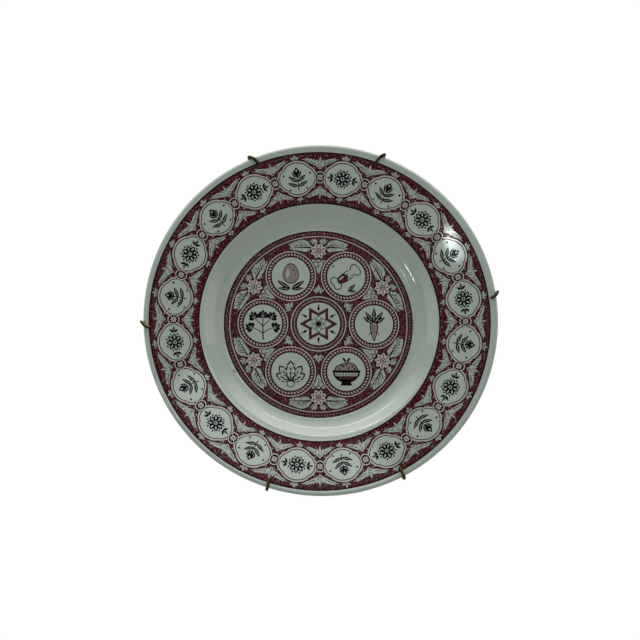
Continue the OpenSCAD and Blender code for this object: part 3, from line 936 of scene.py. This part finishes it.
class Profile:
    """The plate's section, from its sizes. Heights run from the foot to the face."""

    def __init__(self, p):
        self.p = p
        self.well_z = p.foot_h + p.wall
        self.rim_z = self.well_z + p.rim_rise
        self.shoulder = (p.rim_r + p.shoulder_r * math.sin(p.rim_slope),
                         self.rim_z - p.shoulder_r * math.cos(p.rim_slope))
        dx, dz = self.shoulder[0] - p.well_r, self.shoulder[1] - self.well_z - p.hollow_r
        self.slope = (math.asin((p.hollow_r + p.shoulder_r) / math.hypot(dx, dz))
                      + math.atan2(dz, dx))
        self.slope_in = p.well_r + p.hollow_r * math.sin(self.slope)
        self.slope_out = self.shoulder[0] - p.shoulder_r * math.sin(self.slope)
        lip = p.wall / 2
        x = PLATE_R - lip
        self.lip = (x, self.rim_z + (x - lip * math.sin(p.rim_slope) - p.rim_r)
                    * math.tan(p.rim_slope) - lip * math.cos(p.rim_slope))

    def face(self, r):
        """Height and slope of the face at each radius r, an array."""
        p = self.p
        steep = self.slope
        hollow = np.arcsin(np.clip((r - p.well_r) / p.hollow_r, 0, math.sin(steep)))
        shoulder = np.arcsin(np.clip((self.shoulder[0] - r) / p.shoulder_r,
                                     math.sin(p.rim_slope), math.sin(steep)))
        in_hollow = r <= self.slope_in
        slope = np.where(in_hollow, hollow, shoulder)
        z = np.where(in_hollow, self.well_z + p.hollow_r * (1 - np.cos(slope)),
                     self.shoulder[1] + p.shoulder_r * np.cos(slope)
                     + np.maximum(r - p.rim_r, 0) * math.tan(p.rim_slope)
                     + np.minimum(r - self.slope_out, 0) * math.tan(steep))
        return z, slope

    def behind(self):
        """The section's points from the rim's print round the lip to the back's middle,
        as radius, height, outward normal in the section, and material."""
        p = self.p
        pts = []

        def arc(c, r, start, end, n, ink, inside=1):
            for i in range(n + 1):
                a = math.radians(start + (end - start) * i / n)
                pts.append((c[0] + r * math.cos(a), c[1] + r * math.sin(a),
                            inside * math.cos(a), inside * math.sin(a), ink))

        slope, steep = math.degrees(p.rim_slope), math.degrees(self.slope)
        lip = p.wall / 2
        arc(self.lip, lip, 90 + slope, slope - 90, 18, BARE)

        # Under the rim, and round the shoulder and the hollow to the foot ring.
        down = math.radians(slope - 90)
        first = self.lip[0] + lip * math.cos(down)
        last = (self.shoulder[0]
                + (p.shoulder_r - p.wall) * math.cos(math.radians(90 + slope)))
        for share in QUARTERS[:-1]:
            x = first + (last - first) * share
            z = self.lip[1] + lip * math.sin(down) - (first - x) * math.tan(p.rim_slope)
            pts.append((x, z, math.sin(p.rim_slope), -math.cos(p.rim_slope), BARE))
        arc(self.shoulder, p.shoulder_r - p.wall, 90 + slope, 90 + steep, 8, BARE, -1)
        hollow_c = (p.well_r, self.well_z + p.hollow_r)
        out, fillet = p.hollow_r + p.wall, 1.0
        stop = math.degrees(math.asin((p.foot_r + fillet - p.well_r) / out))
        arc(hollow_c, out, steep - 90, stop - 90, 8, BARE)
        base = hollow_c[1] - math.sqrt(out ** 2 - (p.foot_r - p.well_r) ** 2)
        for k in QUARTERS:
            a = UP * k
            pts.append((p.foot_r + fillet * (1 - math.sin(a)),
                        base + 0.25 - (fillet - 0.2) * (1 - math.cos(a)),
                        math.sin(a), -math.cos(a), BARE))

        # Round the foot ring, whose crest has no glaze, and inward over the back.
        crest = 1.4
        arc((p.foot_r - crest, crest), crest, 0, -60, 5, BARE)
        arc((p.foot_r - crest, crest), crest, -68, -90, 2, CREST)
        inner = p.foot_r - p.foot_w
        arc((inner + crest, crest), crest, -90, -112, 2, CREST)
        arc((inner + crest, crest), crest, -120, -180, 5, BARE)
        for k in (0.0, *QUARTERS):
            a = UP * k
            pts.append((inner - 0.8 * (1 - math.cos(a)), p.foot_h - 0.8 * (1 - math.sin(a)),
                        -math.cos(a), -math.sin(a), BARE))
        return pts + [(r, p.foot_h, 0.0, -1.0, BARE) for r in (60, 48, 36, 24, 14, 6)]


class Surface:
    """Gathers the plate's vertices, normals and faces."""

    def __init__(self, around):
        self.points, self.normals, self.faces, self.inks = [], [], [], []
        self.count, self.around = 0, around
        a = 2 * math.pi * np.arange(around) / around
        self.c, self.s = np.cos(a), np.sin(a)

    def add(self, points, normals, faces, inks):
        self.points.append(points)
        self.normals.append(normals)
        self.faces += [tuple(f) for f in (np.asarray(faces) + self.count)]
        self.inks += list(inks)
        self.count += len(points)

    def face_patch(self, profile, flat, tris, inks, shifts, ends, easing):
        """Lays a flat patch (x, z in millimetres) on the face. It is shifted off centre,
        by the first of the shifts at its inner end and the second at its outer end."""
        low, high = ends
        r = np.hypot(flat[:, 0], flat[:, 1])
        inside = np.clip((r - low) / easing[0], 0, 1) if low > 0 else 1.0
        ease = np.minimum(inside, np.clip((high - r) / easing[1], 0, 1))
        share = np.clip((r - low) / (high - low), 0, 1)[:, None]
        shift = np.array(shifts[0]) * (1 - share) + np.array(shifts[1]) * share
        at = flat + ease[:, None] * shift
        r = np.hypot(at[:, 0], at[:, 1])
        z, slope = profile.face(r)
        safe = np.maximum(r, 1e-9)
        normals = np.stack([-np.sin(slope) * at[:, 0] / safe, -np.cos(slope),
                            -np.sin(slope) * at[:, 1] / safe], 1)
        self.add(np.stack([at[:, 0], -z, at[:, 1]], 1), normals, tris, inks)

    def ring(self, r, y):
        return np.stack([r * self.c, np.full(self.around, -y), r * self.s], 1)

    def rings(self, section):
        """Rings of quads through a section's points: radius, height, normal, material."""
        n = self.around
        faces, inks = [], []
        for i in range(len(section) - 1):
            for k in range(n):
                k2 = (k + 1) % n
                faces.append((i * n + k, (i + 1) * n + k, (i + 1) * n + k2, i * n + k2))
            inks += [section[i + 1][4]] * n
        self.add(np.vstack([self.ring(r, z) for r, z, _, _, _ in section]),
                 np.vstack([self.ring(nr, nz) for _, _, nr, nz, _ in section]), faces, inks)

    def middle(self, r, z):
        """A fan that closes the back."""
        n = self.around
        self.add(np.vstack([self.ring(r, z), [[0, -z, 0]]]),
                 np.tile([0.0, 1.0, 0.0], (n + 1, 1)),
                 [(k, n, (k + 1) % n) for k in range(n)], [BARE] * n)

    def mesh(self, name):
        """The mesh, in place in the frame, with its seams joined."""
        points, normals = np.vstack(self.points), np.vstack(self.normals)
        keys = np.round(points * 1e5).astype(np.int64)
        _, first, same = np.unique(keys, axis=0, return_index=True, return_inverse=True)
        same = same.reshape(-1)
        faces, inks = [], []
        for f, ink in zip(self.faces, self.inks):
            g = tuple(same[list(f)])
            if len(set(g)) == len(g):
                faces.append(tuple(int(v) for v in g))
                inks.append(ink)
        mesh = bpy.data.meshes.new(name)
        at = points[first] * MM + np.array([PLATE_X, FOOT_Y, PLATE_Z])
        mesh.from_pydata([tuple(p) for p in at], [], faces)
        mesh.polygons.foreach_set("material_index", np.array(inks, np.int32))
        mesh.polygons.foreach_set("use_smooth", np.ones(len(faces), bool))
        mesh.update()
        mesh.normals_split_custom_set_from_vertices([tuple(n) for n in normals[first]])
        return mesh


def linked(name, mesh, materials):
    """A new object of the mesh in the scene, with its materials."""
    for m in materials:
        mesh.materials.append(m)
    piece = bpy.data.objects.new(name, mesh)
    bpy.context.scene.collection.objects.link(piece)
    return piece


# Wire -------------------------------------------------------------------------

BEND_STEP = 6.0                     # degrees of a bend between two points of its line
LONGEST_RUN = 6.0                   # millimetres of a straight between two points
HOOK_NECK, HOOK_BEND = 0.8, 1.2     # from a spring's hook to its first coil
COIL_STEPS, HOOK_STEPS = 24, 8      # points on a coil, and on the bend of a hook
WIRE_SIDES, SPRING_SIDES = 24, 12
WIRE_END, SPRING_END = 0.3, 0.15    # millimetres over which a wire's ends are rounded
SHORTEST_RUN = 0.02                 # nearer points of a wire's line are left out


def unit(v):
    """The vector at length one."""
    return v / np.linalg.norm(v)


def bent(corners):
    """The line of a bent wire: straight runs, and an arc round each corner."""
    c = [np.array(k[:3], float) for k in corners]
    line = [c[0]]
    for i in range(1, len(c) - 1):
        r = corners[i][3]
        u, v = unit(c[i] - c[i - 1]), unit(c[i + 1] - c[i])
        turn = math.acos(max(-1, min(1, float(u @ v))))
        w = unit(v - (u @ v) * u)
        middle = c[i] - r * math.tan(turn / 2) * u + r * w
        n = max(2, math.ceil(math.degrees(turn) / BEND_STEP))
        for k in range(n + 1):
            a = turn * k / n
            line.append(middle + r * (u * math.sin(a) - w * math.cos(a)))
    line.append(c[-1])
    kept = [line[0]]
    for p in line[1:]:
        if np.linalg.norm(p - kept[-1]) > SHORTEST_RUN:
            kept.append(p)
    return np.array(kept)


def bowed(corners, bow):
    """The corners with each claw bowed sideways by bow millimetres, upward if positive."""
    made = list(corners)
    for tip, inner in ((0, 1), (-1, -2)):
        a, b = (np.array(corners[i][:3], float) for i in (tip, inner))
        if a[1] > -20:
            continue
        side = unit(np.array([a[2] - b[2], 0.0, b[0] - a[0]]))
        middle = (a + b) / 2 + bow * side * math.copysign(1.0, side[2])
        made.insert(1 if tip == 0 else -1, (*middle, 4.0))
    return made


def filled_in(line):
    """The line with points added on its long straight runs."""
    out = [line[0]]
    for a, b in zip(line, line[1:]):
        n = max(1, math.ceil(np.linalg.norm(b - a) / LONGEST_RUN))
        out += [a + (b - a) * k / n for k in range(1, n + 1)]
    return np.array(out)


def tube(name, line, r, sides, materials, ends):
    """A tube along a line in millimetres, with ends rounded over the length ends. Its
    attribute says how far along and round each vertex is."""
    t = np.gradient(line, axis=0)
    t /= np.linalg.norm(t, axis=1)[:, None]
    at = [0.0]
    for a, b in zip(line, line[1:]):
        at.append(at[-1] + np.linalg.norm(b - a))

    def end_ring(i, way, k, s):
        """A ring on a rounded end, from k = 0 at the tip."""
        return (line[i] + way * t[i] * ends * (1 - math.cos(k * UP)), t[i],
                r - ends + ends * math.sin(k * UP), s)

    rings = [end_ring(0, 1, k, 0.0) for k in (0.0, 0.35, 0.7)]
    rings.append((line[0] + t[0] * ends, t[0], r, ends))
    rings += [(line[i], t[i], r, at[i]) for i in range(1, len(line) - 1)
              if ends < at[i] < at[-1] - ends]
    rings.append((line[-1] - t[-1] * ends, t[-1], r, at[-1] - ends))
    rings += [end_ring(-1, -1, k, at[-1]) for k in (0.7, 0.35, 0.0)]

    points, run, faces = [], [], []
    side = unit(np.cross(t[0], [0.3, 0.8, 0.5]))
    for c, d, rr, s in rings:
        side = unit(side - (side @ d) * d)
        up = np.cross(d, side)
        for k in range(sides):
            a = 2 * math.pi * k / sides
            points.append(tuple((c + rr * (math.cos(a) * side + math.sin(a) * up)) * MM))
            run.append((s, math.cos(a), math.sin(a)))
    last = (len(rings) - 1) * sides
    for i in range(0, last, sides):
        for k in range(sides):
            k2 = (k + 1) % sides
            faces.append((i + k, i + k2, i + sides + k2, i + sides + k))
    faces.append(tuple(range(sides))[::-1])
    faces.append(tuple(range(last, last + sides)))
    mesh = bpy.data.meshes.new(name)
    mesh.from_pydata(points, [], faces)
    mesh.polygons.foreach_set("use_smooth", np.ones(len(faces), bool))
    layer = mesh.attributes.new("run", "FLOAT_VECTOR", "POINT")
    layer.data.foreach_set("vector", np.array(run, np.float32).ravel())
    mesh.update()
    return linked(name, mesh, materials)


def spring_line(start, end, wire):
    """The line of an extension spring between two wires: hook, coils, hook."""
    a, b = np.array(start, float), np.array(end, float)
    z = unit(b - a)
    y = np.array([0.0, -1.0, 0.0])
    x = np.cross(y, z)
    length_over = np.linalg.norm(b - a) + 2 * wire.hook_reach
    coil, neck, bend = wire.coil_r, HOOK_NECK, HOOK_BEND
    hook = coil + neck + bend
    swing = bend / coil

    first = [(0, -coil, coil + 2 * wire.spring_wire_r)]
    for i in range(COIL_STEPS + 1):
        t = math.pi + math.pi * i / COIL_STEPS
        first.append((0, coil * math.cos(t), coil + coil * math.sin(t)))
    for i in range(HOOK_STEPS):
        t = UP * i / HOOK_STEPS
        first.append((*polar(coil, UP + swing * (1 - math.cos(t))),
                      coil + neck + bend * math.sin(t)))

    count = math.floor((length_over - 2 * hook) / wire.coil_pitch)
    steps = count * COIL_STEPS
    low, high = UP + swing, UP + 2 * math.pi * count - swing
    coils = [(*polar(coil, low + (high - low) * i / steps),
              hook + (length_over - 2 * hook) * i / steps) for i in range(steps + 1)]
    last = [(-p[0], p[1], length_over - p[2]) for p in reversed(first)]
    origin = a - wire.hook_reach * z
    return np.array([origin + p[0] * x + p[1] * y + p[2] * z for p in first + coils + last])


def upper_wires_painted_shade(n):
    """More of the dull colour on the upper wires than on the lower ones: painted shade,
    darker higher up.
    """
    return n.plus(0.05, n.times(n.ramp(n.upward(n.at()), -0.15, 0.03), 1.25))


def wire_material(name, rubbed, dull, dullness, metallic):
    """Drawn wire with painted shade: darkest underneath and on its sides, lightest on top.
    dullness is a number, or a call that makes a socket."""
    wear = bpy.data.node_groups.get("wire_wear") or wear_group()
    mat, n, shader = material(name)
    made = n.add("ShaderNodeGroup",
                 {"Rubbed": rgba(rubbed), "Dull": rgba(dull),
                  "Dullness": dullness(n) if callable(dullness) else dullness},
                 node_tree=wear)
    # Painted shade: the wire darkens towards a fifth of its dull colour where its normal
    # points sideways or down, so only its top stays light.
    under = n.times(n.ramp(n.upward(n.at("Normal")), 0.9, -0.15), 0.95)
    n.feed(shader.inputs["Base Color"], n.mix(under, made.outputs["Color"],
                                              rgba([c * 0.2 for c in dull])))
    shader.inputs["Metallic"].default_value = metallic
    finished(n, shader, made, 0.00004, 0.5)
    return mat


# Stage, in metres ---------------------------------------------------------------

MIDDLE_DEPTH = 0.014                # from the foot ring forward to the plate's middle
AIM_SHIFT = (-0.0007, 0.0, -0.00015)    # from there to the middle of the view
FLOOR_REACH = 2.4                   # half the floor's width
FADE_FROM, FADE_TO = 0.55, 1.3      # where the floor turns to white for the camera
WHITE, COOL, COOLEST = (1.0, 1.0, 1.0), (0.9, 1.0, 1.0), (0.82, 1.0, 0.98)


def grey(v):
    return (v, v, v, 1)


def seeing(n):
    """1 for the camera's rays, and 1 for those and the rays of a shine or a clear body."""
    ray = n.add("ShaderNodeLightPath").outputs
    return ray["Is Camera Ray"], n.math(
        "MAXIMUM", ray["Is Camera Ray"],
        n.math("MAXIMUM", ray["Is Glossy Ray"], ray["Is Transmission Ray"]))


def make_floor(z):
    """The floor. It throws back less light than it seems to, and to the camera it is
    darker near the plate and fades into the white of the room."""
    size = FLOOR_REACH
    mesh = bpy.data.meshes.new("floor")
    mesh.from_pydata([(-size, -size, z), (size, -size, z), (size, size, z),
                      (-size, size, z)], [], [(0, 1, 2, 3)])
    mat, n, shader = material("floor")
    at = n.at()
    grain = n.noise(at, 3.0)
    camera, seen = seeing(n)
    pale, near = n.mix(grain, grey(0.82), grey(0.86)), n.mix(grain, grey(0.62), grey(0.65))
    laid = n.mix(camera, n.mix(seen, grey(0.40), pale), near)
    away = n.add("ShaderNodeVectorMath", {0: at}, operation="LENGTH").outputs["Value"]
    faded = n.times(camera, n.ramp(away, FADE_FROM, FADE_TO))
    n.feed(shader.inputs["Base Color"], n.mix(faded, laid, grey(0.0)))
    n.feed(shader.inputs["Emission Color"], n.mix(faded, grey(0.0), grey(1.0)))
    shader.inputs["Emission Strength"].default_value = 1.0
    shader.inputs["Roughness"].default_value = 0.9
    return linked("floor", mesh, [mat])


def soft_room():
    """A world that looks white and lights the plate a little."""
    world = bpy.data.worlds.new("soft_room")
    world.use_nodes = True
    n = Nodes(world.node_tree)
    n.tree.nodes.clear()
    _, seen = seeing(n)
    lit = n.add("ShaderNodeBackground", {"Color": (0.96, 0.98, 1.0, 1), "Strength": 0.15})
    white = n.add("ShaderNodeBackground", {"Color": grey(1.0), "Strength": 1.0})
    mixed = n.add("ShaderNodeMixShader", {0: seen, 1: lit.outputs[0],
                                          2: white.outputs[0]})
    n.add("ShaderNodeOutputWorld", {0: mixed.outputs[0]})
    return world


def area_lamp(name, at, aim, width, height, radiance, color=WHITE, lean=0.0):
    """A soft lamp of a width, height and radiance, aimed at a point."""
    lamp = bpy.data.lights.new(name, "AREA")
    lamp.shape = "RECTANGLE"
    lamp.size, lamp.size_y = width, height
    lamp.energy = radiance * math.pi * width * height
    lamp.color = color
    holder = bpy.data.objects.new(name, lamp)
    holder.location = at
    facing = (Vector(aim) - Vector(at)).to_track_quat("-Z", "Y")
    holder.rotation_euler = (facing @ Quaternion((0.0, 0.0, 1.0), lean)).to_euler()
    bpy.context.scene.collection.objects.link(holder)


def place_lamps(middle):
    """The lamps. middle is the plate's."""
    # Lamps that shine straight down: x, y, z, width, depth, radiance and lean. Those in
    # two stacks of five are each narrower than the one below.
    stack, rise = 5, 0.01
    down = [("ceiling_lamp", 0.0, -1.02, 1.25, 3.2, 0.54, 1.6, 0.0)]
    down += [("middle_lamp", 0.0, -0.475, 1.25 + rise * i, 3.8 - 0.4 * i, 0.55, 0.52, 0.0)
             for i in range(stack)]
    down += [("top_lamp", 0.0, 0.06, 1.25 + rise * i, 3.6 - 0.5 * i, 0.52, 0.72, 0.0)
             for i in range(stack)]
    down += [("tube_lamp", 0.26, -0.186, 1.22, 0.90, 0.05, 14.0, 0.028),
             ("tube_lamp", -0.54, -0.246, 1.22, 0.72, 0.05, 14.0, 0.190),
             ("back_lamp", 0.0, 1.5, 1.3, 3.6, 1.8, 1.3, 0.0)]
    for name, x, y, z, width, depth, radiance, lean in down:
        area_lamp(name, (x, y, z), (x, y, 0.0), width, depth, radiance, lean=lean)

    area_lamp("front_lamp", (0.0, -1.60, 1.10), middle, 2.4, 1.1, 0.68)
    area_lamp("low_lamp", (0.36, -2.00, 0.66), middle, 0.85, 0.5, 2.6)
    for x in (-1.35, 1.35):
        area_lamp("side_lamp", (x, -0.25, 0.0), (0.0, -0.1, -0.06), 0.8, 0.9, 1.0)

    # Small lamps for the glare on the rim, placed from the plate's middle.
    for name, over, width, height, radiance, color, lean in (
            ("window_lamp", (-0.1452, -1.50, 0.1058), 0.014, 0.025, 12.5, COOLEST, 0.49),
            ("pane_lamp", (-0.1352, -1.50, 0.0805), 0.013, 0.018, 68.0, WHITE, 0.49),
            ("frame_lamp", (-0.1560, -1.50, 0.0970), 0.006, 0.034, 36.0, COOLEST, 0.49),
            ("far_lamp", (-0.645, -0.94, -0.209), 0.06, 0.18, 30.0, COOL, 0.5)):
        area_lamp(name, middle + Vector(over), middle, width, height, radiance, color,
                  lean)


# Operators --------------------------------------------------------------------

class MakePlate(bpy.types.Operator):
    """Makes the glazed plate with its print"""
    bl_idname = "seder_plate.make_plate"
    bl_label = "Printed plate"

    def execute(self, context):
        scene = context.scene
        sizes, ink = in_mm(scene.plate_sizes), in_mm(scene.print_sizes)
        around = sizes.around
        profile, surface = Profile(sizes), Surface(around)

        domain, shapes, spots = well_sector(ink, around // 6, WELL_PATCH[1])
        flat, tris, inks = cut(domain, shapes, spots)
        for k, motif in enumerate(FOODS):
            a = math.pi / 3 * k
            c, s = math.cos(a), math.sin(a)
            food, food_tris, food_inks = food_patch(ink.roundel_r, motif, a)
            food = food + np.array([ink.roundel_at, 0.0])
            for at, faces, its_inks in ((flat, tris, inks), (food, food_tris, food_inks)):
                turned = np.stack([at[:, 0] * c - at[:, 1] * s,
                                   at[:, 0] * s + at[:, 1] * c], 1)
                surface.face_patch(profile, turned, faces, its_inks,
                                   (ink.well_shift, ink.well_shift), WELL_PATCH, WELL_EASE)

        pairs = ink.pairs
        domain, shapes, spots, period = rim_sector(ink, around // pairs, *RIM_PATCH)
        rolled, tris, inks = cut(domain, shapes, spots)
        for k in range(pairs):
            a = UP + 2 * math.pi / pairs * (k - rolled[:, 0] / period)
            turned = np.stack([rolled[:, 1] * np.cos(a), rolled[:, 1] * np.sin(a)], 1)
            surface.face_patch(profile, turned, tris, inks,
                               (ink.rim_shift_in, ink.rim_shift_out), RIM_PATCH, RIM_EASE)

        radii = np.concatenate([np.linspace(WELL_PATCH[1], profile.slope_in, 3),
                                np.linspace(profile.slope_in, RIM_PATCH[0], 5)[1:]])
        surface.rings([(r, z, -math.sin(t), math.cos(t), BARE)
                       for r, z, t in zip(radii, *profile.face(radii))])
        z, _ = profile.face(np.array(RIM_PATCH[1:]))
        outside = [(RIM_PATCH[1], float(z[0]), -math.sin(sizes.rim_slope),
                    math.cos(sizes.rim_slope), BARE)] + profile.behind()
        surface.rings(outside)
        surface.middle(*outside[-1][:2])

        mesh = surface.mesh("printed_plate")
        if len(mesh.polygons) < around:
            raise RuntimeError("the plate's mesh came out empty")
        piece = linked("printed_plate", mesh, plate_materials(scene.finishes))
        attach(piece, "plate_and_lower_bow")
        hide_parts("plate")
        return {"FINISHED"}


class MakeWires(bpy.types.Operator):
    """Makes the hanger's bent brass wires"""
    bl_idname = "seder_plate.make_wires"
    bl_label = "Hanger wires"

    def execute(self, context):
        finish, wire = context.scene.finishes, in_mm(context.scene.wire_sizes)
        # The brass gets painted shade: more of its dull colour higher up.
        brass = wire_material("brass_wire", finish.brass, finish.tarnish_and_shade, upper_wires_painted_shade,
                              0.85)
        for node, (body, bow, corners) in WIRES.items():
            line = filled_in(bent(bowed(corners, bow)))
            piece = tube(node + "_wire", line, wire.wire_r, WIRE_SIDES, [brass], WIRE_END)
            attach(piece, body)
            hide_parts(node)
        return {"FINISHED"}


class MakeSprings(bpy.types.Operator):
    """Makes the three extension springs"""
    bl_idname = "seder_plate.make_springs"
    bl_label = "Springs"

    def execute(self, context):
        finish, wire = context.scene.finishes, in_mm(context.scene.wire_sizes)
        steel = wire_material("spring_steel", finish.steel,
                              [c * 0.55 for c in finish.steel], 0.6, 0.95)
        for node, (start, end, first, second) in SPRINGS.items():
            piece = tube(node + "_wire", spring_line(start, end, wire),
                         wire.spring_wire_r, SPRING_SIDES, [steel], SPRING_END)
            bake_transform(piece)
            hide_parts(node)
        return {"FINISHED"}


class MakeStage(bpy.types.Operator):
    """Makes the floor, the lamps, the world and the camera"""
    bl_idname = "seder_plate.make_stage"
    bl_label = "Stage"

    def execute(self, context):
        scene, stage = context.scene, context.scene.stage_settings
        scene.view_settings.view_transform = "Standard"
        middle = Vector((PLATE_X, FOOT_Y - MIDDLE_DEPTH, PLATE_Z))
        floor = make_floor(PLATE_Z - stage.floor_drop)
        scene.world = soft_room()
        place_lamps(middle)

        az, el = stage.azimuth, stage.elevation
        away = Vector((math.sin(az) * math.cos(el), -math.cos(az) * math.cos(el),
                       math.sin(el)))
        camera = bpy.data.cameras.new("camera")
        camera.lens = camera.sensor_width * stage.distance / stage.view_width
        holder = bpy.data.objects.new("camera", camera)
        holder.location = middle + Vector(AIM_SHIFT) + away * stage.distance
        holder.rotation_euler = (-away).to_track_quat("-Z", "Y").to_euler()
        scene.collection.objects.link(holder)
        scene.camera = holder
        return {"FINISHED"}


class PlatePanel(bpy.types.Panel):
    """Lists the plate's pieces"""
    bl_idname = "VIEW3D_PT_seder_plate"
    bl_label = "Seder plate"
    bl_space_type = "VIEW_3D"
    bl_region_type = "UI"
    bl_category = "Plate"

    def draw(self, context):
        for maker in MAKERS:
            self.layout.operator(maker.bl_idname)


MAKERS = (MakePlate, MakeWires, MakeSprings, MakeStage)
SETTINGS = {"plate_sizes": PlateSizes, "print_sizes": PrintSizes,
            "wire_sizes": WireSizes, "finishes": Finishes,
            "stage_settings": StageSettings}
CLASSES = (*SETTINGS.values(), *MAKERS, PlatePanel)


def register():
    for cls in CLASSES:
        bpy.utils.register_class(cls)
    for name, cls in SETTINGS.items():
        setattr(bpy.types.Scene, name, PointerProperty(type=cls))


def unregister():
    for name in SETTINGS:
        delattr(bpy.types.Scene, name)
    for cls in reversed(CLASSES):
        bpy.utils.unregister_class(cls)


def main():
    register()
    bpy.ops.seder_plate.make_plate()
    bpy.ops.seder_plate.make_wires()
    bpy.ops.seder_plate.make_springs()
    bpy.ops.seder_plate.make_stage()


if __name__ == "__main__":
    main()
